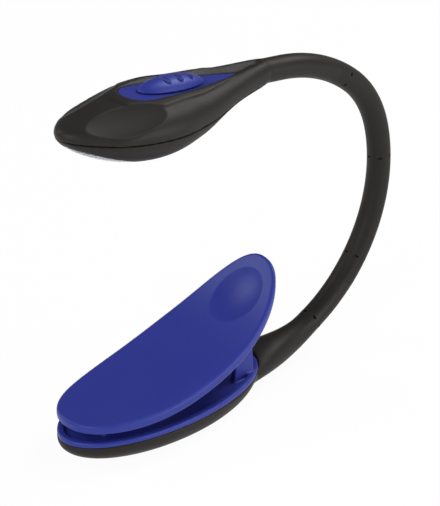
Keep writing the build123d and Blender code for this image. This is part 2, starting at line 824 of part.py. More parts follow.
def make_coin_cell(index):
    """Flat round cell with eased edges."""
    cell = upright_cylinder(cell_place, cell_radius, cell_top - index * cell_height, cell_height)
    return fillet(cell.edges().filter_by(GeomType.CIRCLE), cell_edge_radius)


def make_cell_contact_top():
    """Spring strip between the cradle and the upper cell."""
    top = cradle_top - cradle_roof - running_clearance
    return block_at(cell_place, contact_length, contact_width, top - contact_thickness, top)


def make_cell_contact_bottom():
    """Strap under the lower cell that hooks up round the cradle."""
    reach = cell_radius + cell_room + cradle_wall + seat_clearance
    top = cell_top - 2 * cell_height - running_clearance
    outer = block_at(cell_place, 2 * (reach + contact_thickness), contact_width, top - contact_thickness,
                     top + contact_leg)
    return outer - block_at(cell_place, 2 * reach, 2 * contact_width, top, top + 2 * contact_leg)


def make_cover_screw():
    """Screw that draws the lower cover up to the post."""
    return screw(cover_screw_place, cover_screw_seat, cover_screw_tip - seat_clearance)


parts = {
    "base_shell": make_base_shell(),
    "clip_tray": make_clip_tray(),
    "upper_jaw": make_upper_jaw(),
    "hinge_pin": make_hinge_pin(),
    "torsion_spring": make_torsion_spring(),
    "tray_screws": make_tray_screws(),
    "root_ferrule": make_ferrule(wire_gap_in_socket + running_clearance),
    "head_ferrule": make_ferrule(ferrule_start),
}
for index in range(len(bend_places)):
    parts[f"neck_sleeve_{index + 1}"] = make_neck_sleeve(index)
for index in range(len(bend_places) + 1):
    parts[f"core_wire_{index}"] = make_core_wire(index)

cavity = head_cavity()
shell = head_form(0.0) - cavity
head_parts = {
    "head_upper_shell": make_head_upper_shell(shell, cavity),
    "head_lower_cover": make_head_lower_cover(shell, cavity),
    "lens": make_lens(shell),
    "slider_plate": make_slider_plate(),
    "slider_button": make_slider_button(),
    "switch_lever": make_switch_lever(),
    "switch_body": make_switch_body(),
    "circuit_board": make_circuit_board(),
    "led": make_led(),
    "reflector": make_reflector(),
    "battery_cradle": make_battery_cradle(),
    "coin_cell_1": make_coin_cell(0),
    "coin_cell_2": make_coin_cell(1),
    "cell_contact_top": make_cell_contact_top(),
    "cell_contact_bottom": make_cell_contact_bottom(),
    "cover_screw": make_cover_screw(),
}
for name, piece in head_parts.items():
    parts[name] = head_plane * piece

os.makedirs("parts", exist_ok=True)
for name, piece in parts.items():
    export_step(piece, f"parts/{name}.step")
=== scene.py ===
import json
import math

import bpy
from mathutils import Matrix, Vector


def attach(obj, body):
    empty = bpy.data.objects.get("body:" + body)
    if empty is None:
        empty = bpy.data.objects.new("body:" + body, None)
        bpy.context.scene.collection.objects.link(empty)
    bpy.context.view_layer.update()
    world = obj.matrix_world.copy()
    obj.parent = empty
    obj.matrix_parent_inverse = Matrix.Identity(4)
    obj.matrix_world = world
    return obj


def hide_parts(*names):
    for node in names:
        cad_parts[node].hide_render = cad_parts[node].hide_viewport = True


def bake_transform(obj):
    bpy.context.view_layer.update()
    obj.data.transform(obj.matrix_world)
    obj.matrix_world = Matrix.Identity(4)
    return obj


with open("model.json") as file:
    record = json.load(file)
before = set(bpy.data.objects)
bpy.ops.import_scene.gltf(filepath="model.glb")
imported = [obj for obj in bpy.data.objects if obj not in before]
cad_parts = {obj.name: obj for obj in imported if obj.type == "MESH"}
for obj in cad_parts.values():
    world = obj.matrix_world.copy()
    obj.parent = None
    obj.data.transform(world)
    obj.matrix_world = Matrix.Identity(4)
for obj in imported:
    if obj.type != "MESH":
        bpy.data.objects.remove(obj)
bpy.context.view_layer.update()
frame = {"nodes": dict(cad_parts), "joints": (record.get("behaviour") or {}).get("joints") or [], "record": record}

bl_info = {
    "name": "Clip-on reading lamp",
    "version": (1, 0, 0),
    "blender": (4, 5, 0),
    "location": "View3D > Sidebar > Lamp",
    "description": "Dresses the packed reading lamp with soft mouldings, a rubber neck and studio light",
    "category": "Object",
}

MM = 0.001
SIDEWAYS = Vector((0, 1, 0))
DOUBLES = 1e-6

# Neck: the start of its centreline, the radius and turn of each bend, and the joints' places along it
NECK_ROOT = (44.7 * MM, 5.3 * MM)
NECK_BENDS = ((53.9 * MM, 104.9), (39.2 * MM, 35.4), (63.3 * MM, 31.5))
HINGE_PLACES = {
    "neck_pitch_1": 26.0 * MM,
    "neck_side_2": 56.0 * MM,
    "neck_pitch_3": 86.0 * MM,
    "neck_side_4": 116.0 * MM,
    "neck_pitch_5": 144.0 * MM,
}

# Tubes of the neck: their sides, the spacing of their rings, and how much each skin outgrows the one inside
TUBE_SIDES = 64
STEM_RING = 1.0 * MM
SKIN_RING = 0.7 * MM
SKIN_STEP = 0.01 * MM
SKIN_CREASE = math.radians(40.0)

# Rings of small slots round the neck
SLOT_PLACES = {
    "hull_skin": 23.75 * MM,
    "neck_skin_2": 50.5 * MM,
    "neck_skin_3": 87.0 * MM,
    "neck_skin_4": 127.6 * MM,
}
SLOT_COUNT = 6
SLOT_PHASE = 20.0
SLOT_HALF_LENGTH = 0.36 * MM
SLOT_HALF_ANGLE = 11.0
SLOT_LIP = 0.06 * MM
PUNCH_LENGTH = 0.7 * MM
PUNCH_WIDTH = 1.4 * MM

# Root of the neck: where its stem starts inside the hull, and the swelling that leads into it
ROOT_STEM_START = 18.0 * MM
FAIRING_CENTRE = (36.0 * MM, 0.0, 3.6 * MM)
FAIRING_HALF_SIZES = (10.0 * MM, 8.8 * MM, 2.6 * MM)
MELT_BEGINS, MELT_IS_FULL = 10.0 * MM, 28.0 * MM
MELT_FADES, MELT_ENDS = 38.0 * MM, 50.0 * MM
MELT_TOP_FADES, MELT_TOP = 4.2 * MM, 6.2 * MM
MELT_ROUNDS = 200

# Head: how far its stem runs in, and the dimples in its own frame, which starts at the neck's end
HEAD_STEM_REACH = 10.0 * MM
DIMPLE_CENTRE = (73.3 * MM, 11.5 * MM, -0.7 * MM)
DIMPLE_LEAN = (("Z", -12.6), ("Y", 10.0), ("X", -31.0))
DIMPLE_HALF_SIZES = (22.5 * MM, 8.6 * MM, 3.75 * MM)
BACKING_HALF_SIZES = (11.0 * MM, 6.5 * MM, 2.6 * MM)
BACKING_LIFT = -4.8 * MM

# Thumb dish in the upper jaw: its centre, the lean of its axis and its turned rings
DISH_CENTRE = (34.4 * MM, 0.0, 31.8 * MM)
DISH_LEAN = math.radians(36.83)
RING_PITCH = 0.75 * MM
RINGS_FADE, RINGS_END = 6.2 * MM, 7.4 * MM
RINGS_FLOOR, RINGS_FULL = -2.2 * MM, -1.7 * MM
RING_HEIGHT = 0.02 * MM
RING_STRENGTH = 0.5

# Tray: the shallow floor that shows inside it
TRAY_FLOOR_HALF_SIZES = (37.7 * MM, 16.5 * MM)
TRAY_FLOOR_DEPTH = 1.6 * MM
TRAY_FLOOR_HEIGHT = 6.6 * MM

# Spring on the hinge pin: the headings of its legs in degrees, its turns and its lengths
PIN = Vector(next(joint["pos_m"] for joint in frame["joints"] if joint["name"] == "jaw_hinge"))
TRAY_LEG_HEADING = -85.0
JAW_LEG_HEADING = 65.0
TRAY_LEG = 11.7 * MM
JAW_LEG = 15.8 * MM
SPRING_TURNS = 5
SPRING_HALF_WIDTH = 3.9 * MM
STEPS_A_TURN = 40
WIRE_SIDES = 16
FIRST_RING_REACH = 1.2
WIRE_CREASE = math.radians(50.0)

# Rounds of smoothing that soften the mouldings
FIRST_ROUNDS = 1
SHELL_ROUNDS = 4
HULL_ROUNDS = 5
BUTTON_ROUNDS = 6
SMOOTHING = 0.5

# Finishes: the usual range of a noise, how far roughness drifts with it, and the depth of fine lines
NOISE_LOW = 0.3
NOISE_HIGH = 0.7
ROUGH_DRIFT = 0.05
GRAIN_STRENGTH = 0.35
LINE_HEIGHT = 0.02 * MM
LINE_STRENGTH = 0.25
METAL_DARK = 0.8
METAL_LIGHT = 1.1
METAL_SMOOTHER = 0.06
METAL_ROUGHER = 0.08

# Stage: floor, lights as place, size and power, and the camera
FLOOR_SIZE = 6.0
FLOOR_DROP = 0.4 * MM
FLOOR_GLOW = 0.95
FLOOR_ROUGHNESS = 0.9
FLOOR_SHINE = 0.1
FLOOR_DRIFT = 0.01
FLOOR_CLOUDS = 3.0
WORLD_LIGHT = 0.13
LIGHTS = {
    "key": ((-0.76, -0.25, 0.42), 0.5, 4.4),
    "front": ((0.4, -0.95, 0.26), 0.6, 6.2),
    "right": ((0.63, -0.06, 0.73), 0.34, 5.2),
    "rear": ((-0.45, 0.65, 0.6), 0.5, 3.3),
}
LIGHT_AIM = Vector((0.02, 0, 0.05))
CAMERA_PLACE = (-0.5127, -0.5805, 0.4711)
CAMERA_LOOK = Vector((0.601, 0.647, -0.469))
SENSOR_WIDTH = 36.0


# Sizes and colours that a user may change

class LampSizes(bpy.types.PropertyGroup):
    """Sizes of the pieces that are modelled here."""

    neck_radius: bpy.props.FloatProperty(
        name="Neck radius", description="Outside radius of the rubber neck",
        default=3.97 * MM, subtype="DISTANCE")
    skin_overlap: bpy.props.FloatProperty(
        name="Skin overlap", description="How far one length of neck runs on inside the next",
        default=3.0 * MM, subtype="DISTANCE")
    bend_reach: bpy.props.FloatProperty(
        name="Bend reach", description="How far each side of a joint the rubber bends",
        default=13.0 * MM, subtype="DISTANCE")
    slot_depth: bpy.props.FloatProperty(
        name="Slot depth", description="Depth of the small moulding slots round the neck",
        default=0.7 * MM, subtype="DISTANCE")
    shell_grain: bpy.props.FloatProperty(
        name="Shell voxel", description="Cell size used to ease the edges of the hull and the head",
        default=0.36 * MM, subtype="DISTANCE")
    jaw_grain: bpy.props.FloatProperty(
        name="Jaw voxel", description="Cell size used to ease the edges of the jaws",
        default=0.324 * MM, subtype="DISTANCE")
    button_grain: bpy.props.FloatProperty(
        name="Button voxel", description="Cell size used to ease the edges of the slider",
        default=0.2 * MM, subtype="DISTANCE")
    spring_wire: bpy.props.FloatProperty(
        name="Spring wire radius", description="Radius of the spring's wire",
        default=0.45 * MM, subtype="DISTANCE")
    spring_coil: bpy.props.FloatProperty(
        name="Spring coil radius", description="Radius of the coil at the middle of the wire",
        default=2.4 * MM, subtype="DISTANCE")


class LampFinishes(bpy.types.PropertyGroup):
    """Colours of the finishes."""

    rubber: bpy.props.FloatVectorProperty(
        name="Rubber", description="Matt black of the neck and the soft mouldings",
        subtype="COLOR", size=3, default=(0.0165, 0.0142, 0.0122))
    blue: bpy.props.FloatVectorProperty(
        name="Blue", description="Satin blue of the jaws and the slider",
        subtype="COLOR", size=3, default=(0.021, 0.0296, 0.247))
    blue_sheen: bpy.props.FloatVectorProperty(
        name="Blue sheen", description="Tint of the highlights on the blue",
        subtype="COLOR", size=3, default=(0.7, 0.8, 1.0))
    lens_tint: bpy.props.FloatVectorProperty(
        name="Lens", description="Tint of the clear window under the nose",
        subtype="COLOR", size=3, default=(0.8, 0.81, 0.88))


class LampStage(bpy.types.PropertyGroup):
    """Floor and camera."""

    floor_colour: bpy.props.FloatVectorProperty(
        name="Floor", description="Colour of the floor", subtype="COLOR", size=3, default=(0.9, 0.9, 0.9))
    lens_length: bpy.props.FloatProperty(
        name="Lens length", description="Focal length of the camera", default=200.1, unit="CAMERA")


# Helpers for modelling

def deselect_all():
    """Leaves nothing selected and no object in edit mode."""
    if bpy.context.object and bpy.context.object.mode != "OBJECT":
        bpy.ops.object.mode_set(mode="OBJECT")
    bpy.ops.object.select_all(action="DESELECT")


def pick(piece):
    """Makes one object the only selected and active one."""
    deselect_all()
    piece.select_set(True)
    bpy.context.view_layer.objects.active = piece


def name_piece(name):
    """The object an operator has just added, with its new name."""
    piece = bpy.context.object
    piece.name = name
    piece.data.name = name
    return piece


def apply_modifiers(piece):
    """Applies every modifier in order."""
    pick(piece)
    for modifier in list(piece.modifiers):
        bpy.ops.object.modifier_apply(modifier=modifier.name)


def apply_place(piece):
    """Puts the object's place, turn and size into its mesh."""
    pick(piece)
    bpy.ops.object.transform_apply(location=True, rotation=True, scale=True)


def cad_copy(node, name):
    """A loose copy of a CAD piece's mesh with its doubles merged."""
    piece = bpy.data.objects.new(name, frame["nodes"][node].data.copy())
    piece.data.name = name
    piece.data.materials.clear()
    bpy.context.scene.collection.objects.link(piece)
    pick(piece)
    bpy.ops.object.mode_set(mode="EDIT")
    bpy.ops.mesh.select_all(action="SELECT")
    bpy.ops.mesh.remove_doubles(threshold=DOUBLES)
    bpy.ops.object.mode_set(mode="OBJECT")
    return piece


def ease_edges(piece, voxel, rounds):
    """Remeshes a solid and smooths it, so that its moulded edges are soft."""
    remesh = piece.modifiers.new("even mesh", "REMESH")
    remesh.mode = "VOXEL"
    remesh.voxel_size = voxel
    smooth = piece.modifiers.new("soft edges", "SMOOTH")
    smooth.factor = SMOOTHING
    smooth.iterations = rounds
    apply_modifiers(piece)
    bpy.ops.object.shade_smooth()


def join_into(piece, *others):
    """Joins other pieces into the first."""
    pick(piece)
    for other in others:
        other.select_set(True)
    bpy.ops.object.join()


def cut_away(piece, cutter):
    """Cuts one piece with another, which is then thrown away."""
    cut = piece.modifiers.new("cut", "BOOLEAN")
    cut.operation = "DIFFERENCE"
    cut.solver = "EXACT"
    cut.object = cutter
    apply_modifiers(piece)
    bpy.data.objects.remove(cutter)


def rise(value, low, high):
    """A share that climbs from 0 at the low value to 1 at the high one."""
    return min(1.0, max(0.0, (value - low) / (high - low)))


# Centreline of the neck

def lay_bends():
    """The neck's bends as arcs: centre, radius, first angle and turn of each."""
    x, z = NECK_ROOT
    angle, last_radius = -90.0, 0.0
    arcs = []
    for radius, turn in NECK_BENDS:
        x += (last_radius - radius) * math.cos(math.radians(angle))
        z += (last_radius - radius) * math.sin(math.radians(angle))
        arcs.append(((x, z), radius, angle, turn))
        angle += turn
        last_radius = radius
    return arcs


NECK_ARCS = lay_bends()
NECK_LENGTH = sum(radius * math.radians(turn) for radius, turn in NECK_BENDS)


def neck_point(place):
    """Point on the neck's centreline, and its direction there."""
    left = place
    for arc in NECK_ARCS:
        centre, radius, first, turn = arc
        length = radius * math.radians(turn)
        if left <= length or arc is NECK_ARCS[-1]:
            break
        left -= length
    over = max(0.0, left - length)
    angle = math.radians(first) + (left - over) / radius
    direction = Vector((-math.sin(angle), 0, math.cos(angle)))
    point = Vector((centre[0] + radius * math.cos(angle), 0, centre[1] + radius * math.sin(angle)))
    return point + direction * over, direction


def meeting_place(lower, upper):
    """Where two lengths of neck meet, halfway between their joints."""
    return (HINGE_PLACES[lower] + HINGE_PLACES[upper]) / 2


def neck_tube(name, start, end, radius, ring, closed):
    """A tube along the neck, spun arc by arc from a circle, with its ends closed or open."""
    point, direction = neck_point(start)
    deselect_all()
    bpy.ops.mesh.primitive_circle_add(
        vertices=TUBE_SIDES, radius=radius, location=point,
        rotation=direction.to_track_quat("Z", "Y").to_euler(), fill_type="NGON" if closed else "NOTHING")
    piece = name_piece(name)
    apply_place(piece)
    bpy.ops.object.mode_set(mode="EDIT")
    bpy.ops.mesh.select_all(action="SELECT")
    done = 0.0
    for centre, arc_radius, _, arc_turn in NECK_ARCS:
        length = arc_radius * math.radians(arc_turn)
        first, last = max(start, done), min(end, done + length)
        if last > first:
            bpy.ops.mesh.spin(
                steps=max(1, round((last - first) / ring)), angle=(last - first) / arc_radius,
                center=(centre[0], 0, centre[1]), axis=SIDEWAYS)
        done += length
    if end > done:
        direction = neck_point(end)[1]
        bpy.ops.mesh.extrude_region_move(
            TRANSFORM_OT_translate={"value": direction * (end - max(start, done))})
    bpy.ops.mesh.select_all(action="SELECT")
    bpy.ops.mesh.remove_doubles(threshold=DOUBLES)
    if closed:
        bpy.ops.mesh.select_mode(type="VERT")
        bpy.ops.mesh.select_all(action="DESELECT")
        bpy.ops.mesh.select_non_manifold()
        bpy.ops.mesh.edge_face_add()
        bpy.ops.mesh.select_all(action="SELECT")
    bpy.ops.mesh.normals_make_consistent(inside=False)
    bpy.ops.object.mode_set(mode="OBJECT")
    return piece


def bend(piece, joint):
    """Bakes the piece's place into its mesh; the stretch of neck each side of the joint is worked out, but nothing
    bends.
    """
    reach = bpy.context.scene.lamp_sizes.bend_reach
    place = HINGE_PLACES[joint]
    start = neck_point(place - reach)[0]
    end = neck_point(place + reach)[0]
    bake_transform(piece)


def press_slots(skin):
    """Presses a ring of small slots into a length of neck."""
    sizes = bpy.context.scene.lamp_sizes
    point, direction = neck_point(SLOT_PLACES[skin.name])
    upright = direction.cross(SIDEWAYS)
    step = 360.0 / SLOT_COUNT
    for polygon in skin.data.polygons:
        offset = polygon.center - point
        angle = math.degrees(math.atan2(offset.dot(upright), offset.dot(SIDEWAYS))) - SLOT_PHASE
        aside = abs((angle + step / 2) % step - step / 2)
        polygon.select = abs(offset.dot(direction)) < SLOT_HALF_LENGTH and aside < SLOT_HALF_ANGLE
    for edge in skin.data.edges:
        edge.select = False
    for vertex in skin.data.vertices:
        vertex.select = False
    pick(skin)
    bpy.ops.object.mode_set(mode="EDIT")
    bpy.ops.mesh.select_mode(type="FACE")
    bpy.ops.mesh.inset(thickness=SLOT_LIP, depth=0.0)
    bpy.ops.mesh.extrude_region_shrink_fatten(TRANSFORM_OT_shrink_fatten={"value": -sizes.slot_depth})
    bpy.ops.object.mode_set(mode="OBJECT")


def punch_slots(hull):
    """Cuts a ring of small slots into the root of the neck."""
    sizes = bpy.context.scene.lamp_sizes
    point, direction = neck_point(SLOT_PLACES[hull.name])
    upright = direction.cross(SIDEWAYS)
    punches = []
    for index in range(SLOT_COUNT):
        angle = math.radians(SLOT_PHASE + 360.0 * index / SLOT_COUNT)
        outward = SIDEWAYS * math.cos(angle) + upright * math.sin(angle)
        turn = Matrix((direction, outward.cross(direction), outward)).transposed().to_euler()
        deselect_all()
        bpy.ops.mesh.primitive_cube_add(size=1.0, location=point + outward * sizes.neck_radius, rotation=turn)
        punch = name_piece(f"punch_{index}")
        punch.scale = (PUNCH_LENGTH, PUNCH_WIDTH, 2 * sizes.slot_depth)
        apply_place(punch)
        punches.append(punch)
    join_into(*punches)
    cut_away(hull, punches[0])


# Steps that the finishes are made of

def new_group(name, inputs, outputs):
    """An empty shader group with named sockets."""
    group = bpy.data.node_groups.new(name, "ShaderNodeTree")
    for label, default in inputs.items():
        socket = group.interface.new_socket(label, in_out="INPUT", socket_type="NodeSocketFloat")
        socket.default_value = default
    for label in outputs:
        group.interface.new_socket(label, in_out="OUTPUT", socket_type="NodeSocketFloat")
    entry = group.nodes.new("NodeGroupInput")
    leave = group.nodes.new("NodeGroupOutput")
    return group, entry, leave


def object_place(tree):
    """The place on the piece, in its own coordinates."""
    return tree.nodes.new("ShaderNodeTexCoord").outputs["Object"]


def noise(tree, place, scale, detail):
    """A noise over the piece, whose scale is another node's output."""
    cloud = tree.nodes.new("ShaderNodeTexNoise")
    cloud.inputs["Detail"].default_value = detail
    tree.links.new(place, cloud.inputs["Vector"])
    tree.links.new(scale, cloud.inputs["Scale"])
    return cloud.outputs["Fac"]


def calculate(tree, kind, operation, *sources):
    """The outputs of a maths node that is fed by other nodes' outputs or by plain values."""
    step = tree.nodes.new(kind)
    step.operation = operation
    for socket, source in zip(step.inputs, sources):
        if isinstance(source, bpy.types.NodeSocket):
            tree.links.new(source, socket)
        else:
            socket.default_value = source
    return step.outputs


def ramp(tree, source, low, high, first, last):
    """A value that runs from first to last as the source runs from low to high."""
    step = tree.nodes.new("ShaderNodeMapRange")
    for label, value in (("From Min", low), ("From Max", high), ("To Min", first), ("To Max", last)):
        step.inputs[label].default_value = value
    tree.links.new(source, step.inputs["Value"])
    return step.outputs["Result"]


def tint(tree, factor, dark, light, target):
    """Links a colour that runs from dark to light with the factor."""
    blend = tree.nodes.new("ShaderNodeMix")
    blend.data_type = "RGBA"
    blend.inputs["A"].default_value = (*dark, 1.0)
    blend.inputs["B"].default_value = (*light, 1.0)
    tree.links.new(factor, blend.inputs["Factor"])
    tree.links.new(blend.outputs["Result"], target)


def relief(tree, height, distance, strength, target):
    """Links a height to a normal through a bump."""
    bump = tree.nodes.new("ShaderNodeBump")
    bump.inputs["Distance"].default_value = distance
    bump.inputs["Strength"].default_value = strength
    tree.links.new(height, bump.inputs["Height"])
    tree.links.new(bump.outputs["Normal"], target)


def mix_shaders(tree, factor, first, last, target):
    """Links a mix of two shaders."""
    mix = tree.nodes.new("ShaderNodeMixShader")
    tree.links.new(factor, mix.inputs["Fac"])
    tree.links.new(first, mix.inputs[1])
    tree.links.new(last, mix.inputs[2])
    tree.links.new(mix.outputs["Shader"], target)


def scaled(colour, factor):
    """A colour made darker or lighter."""
    return tuple(min(1.0, part * factor) for part in colour)


# Shared effects

def make_grain_group():
    """Fine moulded grain with a slow drift in tone."""
    group, entry, leave = new_group(
        "moulded grain", {"Grain scale": 2600.0, "Drift scale": 60.0}, ("Height", "Drift"))
    place = object_place(group)
    grain = noise(group, place, entry.outputs["Grain scale"], detail=3.0)
    drift = noise(group, place, entry.outputs["Drift scale"], detail=2.0)
    group.links.new(grain, leave.inputs["Height"])
    group.links.new(drift, leave.inputs["Drift"])
    return group


def make_brush_group():
    """Fine drawn lines for metal, stretched across the lamp."""
    group, entry, leave = new_group("drawn metal", {"Line scale": 4000.0, "Stretch": 0.04}, ("Lines",))
    stretch = group.nodes.new("ShaderNodeCombineXYZ")
    stretch.inputs["X"].default_value = 1.0
    stretch.inputs["Z"].default_value = 1.0
    group.links.new(entry.outputs["Stretch"], stretch.inputs["Y"])
    shares = stretch.outputs["Vector"]
    place = calculate(group, "ShaderNodeVectorMath", "MULTIPLY", object_place(group), shares)["Vector"]
    lines = noise(group, place, entry.outputs["Line scale"], detail=4.0)
    group.links.new(lines, leave.inputs["Lines"])
    return group


def use_group(tree, group):
    """Places a shared group in a material."""
    effect = tree.nodes.new("ShaderNodeGroup")
    effect.node_tree = group
    return effect


# Finishes

FINISHES = {}


def new_finish(name):
    """A material with its nodes and its shader."""
    finish = bpy.data.materials.new(name)
    finish.use_nodes = True
    tree = finish.node_tree
    return finish, tree, tree.nodes["Principled BSDF"]


def make_moulding(name, group, colour, rough, grain, drift, bump, spread=0.14, shine=0.5):
    """A moulded plastic or rubber with fine grain and a slow drift in tone."""
    finish, tree, shader = new_finish(name)
    effect = use_group(tree, group)
    effect.inputs["Grain scale"].default_value = grain
    effect.inputs["Drift scale"].default_value = drift
    tone = effect.outputs["Drift"]
    tint(tree, tone, scaled(colour, 1 - spread), scaled(colour, 1 + spread), shader.inputs["Base Color"])
    roughness = ramp(tree, tone, NOISE_LOW, NOISE_HIGH, rough - ROUGH_DRIFT, rough + ROUGH_DRIFT)
    tree.links.new(roughness, shader.inputs["Roughness"])
    relief(tree, effect.outputs["Height"], bump, GRAIN_STRENGTH, shader.inputs["Normal"])
    shader.inputs["Specular IOR Level"].default_value = shine
    return finish, tree, shader


def make_metal(name, group, colour, rough):
    """A drawn metal with fine lines."""
    finish, tree, shader = new_finish(name)
    lines = use_group(tree, group).outputs["Lines"]
    shader.inputs["Metallic"].default_value = 1.0
    tint(tree, lines, scaled(colour, METAL_DARK), scaled(colour, METAL_LIGHT), shader.inputs["Base Color"])
    roughness = ramp(tree, lines, NOISE_LOW, NOISE_HIGH, rough - METAL_SMOOTHER, rough + METAL_ROUGHER)
    tree.links.new(roughness, shader.inputs["Roughness"])
    relief(tree, lines, LINE_HEIGHT, LINE_STRENGTH, shader.inputs["Normal"])
    return finish


def make_blue(name, group, colours):
    """The satin blue of the jaws and the slider."""
    finish, tree, shader = make_moulding(
        name, group, colours.blue, rough=0.46, grain=3600.0, drift=40.0, bump=0.02 * MM,
        spread=0.06, shine=0.4)
    shader.inputs["Specular Tint"].default_value = (*colours.blue_sheen, 1.0)
    return finish, tree, shader


def turn_rings(tree, shader):
    """Adds the fine turned rings of the thumb dish, round the dish's own axis and on its upper side."""
    axis = (-math.sin(DISH_LEAN), 0.0, math.cos(DISH_LEAN))
    offset = calculate(tree, "ShaderNodeVectorMath", "SUBTRACT", object_place(tree), DISH_CENTRE)["Vector"]
    off_axis = calculate(tree, "ShaderNodeVectorMath", "CROSS_PRODUCT", offset, axis)["Vector"]
    distance = calculate(tree, "ShaderNodeVectorMath", "LENGTH", off_axis)["Value"]
    depth = calculate(tree, "ShaderNodeVectorMath", "DOT_PRODUCT", offset, axis)["Value"]
    angle = calculate(tree, "ShaderNodeMath", "MULTIPLY", distance, 2 * math.pi / RING_PITCH)["Value"]
    wave = calculate(tree, "ShaderNodeMath", "SINE", angle)["Value"]
    inside = ramp(tree, distance, RINGS_FADE, RINGS_END, 1.0, 0.0)
    above = ramp(tree, depth, RINGS_FLOOR, RINGS_FULL, 0.0, 1.0)
    mask = calculate(tree, "ShaderNodeMath", "MULTIPLY", inside, above)["Value"]
    height = calculate(tree, "ShaderNodeMath", "MULTIPLY", wave, mask)["Value"]
    grain_bump = shader.inputs["Normal"].links[0].from_node
    relief(tree, height, RING_HEIGHT, RING_STRENGTH, grain_bump.inputs["Normal"])


def make_finishes():
    """All finishes by the record's slot names, and the dished blue of the upper jaw."""
    colours = bpy.context.scene.lamp_finishes
    moulded = make_grain_group()
    drawn = make_brush_group()
    dished, tree, shader = make_blue("dished blue", moulded, colours)
    turn_rings(tree, shader)
    clear, _, shader = make_moulding(
        "clear window", moulded, colours.lens_tint, rough=0.12, grain=900.0, drift=70.0, bump=0.01 * MM,
        spread=0.03)
    shader.inputs["Transmission Weight"].default_value = 0.8
    shader.inputs["IOR"].default_value = 1.49
    return {
        "soft_black": make_moulding(
            "soft black", moulded, colours.rubber, rough=0.5, grain=3200.0, drift=55.0, bump=0.04 * MM,
            shine=0.2)[0],
        "rubber_black": make_moulding(
            "neck rubber", moulded, colours.rubber, rough=0.56, grain=2800.0, drift=80.0, bump=0.04 * MM,
            shine=0.18)[0],
        "blue_plastic": make_blue("satin blue", moulded, colours)[0],
        "dished_blue": dished,
        "black_plastic": make_moulding(
            "plain black", moulded, (0.02, 0.02, 0.02), rough=0.45, grain=2400.0, drift=90.0,
            bump=0.03 * MM)[0],
        "board": make_moulding(
            "board lacquer", moulded, (0.02, 0.12, 0.05), rough=0.35, grain=1800.0, drift=120.0,
            bump=0.02 * MM)[0],
        "white": make_moulding(
            "light source", moulded, (0.9, 0.89, 0.74), rough=0.22, grain=2000.0, drift=300.0,
            bump=0.01 * MM, spread=0.05)[0],
        "steel": make_metal("bright steel", drawn, (0.62, 0.62, 0.64), rough=0.28),
        "wire": make_metal("soft wire", drawn, (0.75, 0.75, 0.77), rough=0.36),
        "brass": make_metal("brass", drawn, (0.72, 0.53, 0.24), rough=0.3),
        "mirror": make_metal("plated cone", drawn, (0.86, 0.87, 0.9), rough=0.12),
        "clear": clear,
    }


def finish_of(slot):
    """The finish for a slot of the record, made on first use."""
    if not FINISHES:
        FINISHES.update(make_finishes())
    return FINISHES[slot]


def wear(piece, slot):
    """Gives a piece the finish of a slot."""
    piece.data.materials.clear()
    piece.data.materials.append(finish_of(slot))


# Pieces

class LAMP_OT_bare_nodes(bpy.types.Operator):
    """Gives every CAD piece the finish of its slot"""

    bl_idname = "lamp.bare_nodes"
    bl_label = "Finish the CAD pieces"

    def execute(self, context):
        for subpart in frame["record"]["subparts"]:
            piece = frame["nodes"][subpart["node"]]
            piece.data.materials.clear()
            piece.data.materials.append(finish_of(subpart["material_slot"]))
        return {"FINISHED"}


def make_fairing():
    """A low swelling that leads the hull's rear end into the root of the neck."""
    deselect_all()
    bpy.ops.mesh.primitive_uv_sphere_add(segments=48, ring_count=24, radius=1.0, location=FAIRING_CENTRE)
    fairing = name_piece("fairing")
    fairing.scale = FAIRING_HALF_SIZES
    apply_place(fairing)
    return fairing


def melt_root(hull):
    """Smooths the hull's rear end until it flows into the neck."""
    group = hull.vertex_groups.new(name="root")
    for vertex in hull.data.vertices:
        x, _, z = vertex.co
        share = rise(x, MELT_BEGINS, MELT_IS_FULL) * (1.0 - rise(x, MELT_FADES, MELT_ENDS))
        share *= 1.0 - rise(z, MELT_TOP_FADES, MELT_TOP)
        if share > 0.0:
            group.add([vertex.index], share, "REPLACE")
    smooth = hull.modifiers.new("flowing root", "SMOOTH")
    smooth.factor = SMOOTHING
    smooth.iterations = MELT_ROUNDS
    smooth.vertex_group = group.name
    apply_modifiers(hull)
    hull.vertex_groups.clear()


class LAMP_OT_hull(bpy.types.Operator):
    """Makes the soft black hull, which runs on into the first length of neck"""

    bl_idname = "lamp.hull"
    bl_label = "Hull and root"

    def execute(self, context):
        sizes = context.scene.lamp_sizes
        hull = cad_copy("base_shell", "hull_skin")
        end = meeting_place("neck_pitch_1", "neck_side_2") + sizes.skin_overlap
        radius = sizes.neck_radius - 2 * SKIN_STEP
        stem = neck_tube("root_stem", ROOT_STEM_START, end, radius, STEM_RING, closed=True)
        join_into(hull, stem, make_fairing())
        ease_edges(hull, sizes.shell_grain, HULL_ROUNDS)
        melt_root(hull)
        punch_slots(hull)
        wear(hull, "soft_black")
        bend(hull, "neck_pitch_1")
        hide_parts("base_shell", "neck_sleeve_1")
        return {"FINISHED"}


class LAMP_OT_neck(bpy.types.Operator):
    """Makes the three middle lengths of the rubber neck with their rings of small slots"""

    bl_idname = "lamp.neck"
    bl_label = "Neck"

    def execute(self, context):
        sizes = context.scene.lamp_sizes
        joints = list(HINGE_PLACES)
        lengths = (("neck_1", "neck_2"), ("neck_2", "neck_3"), ("neck_3", "neck_4"))
        for index, (first, last) in enumerate(lengths):
            below, joint, above = joints[index:index + 3]
            start, end = meeting_place(below, joint), meeting_place(joint, above) + sizes.skin_overlap
            radius = sizes.neck_radius + index * SKIN_STEP
            skin = neck_tube("neck_skin_" + last[-1], start, end, radius, SKIN_RING, closed=False)
            press_slots(skin)
            pick(skin)
            bpy.ops.object.shade_smooth_by_angle(angle=SKIN_CREASE)
            wear(skin, "rubber_black")
            bend(skin, joint)
            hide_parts("neck_sleeve_" + last[-1])
        return {"FINISHED"}


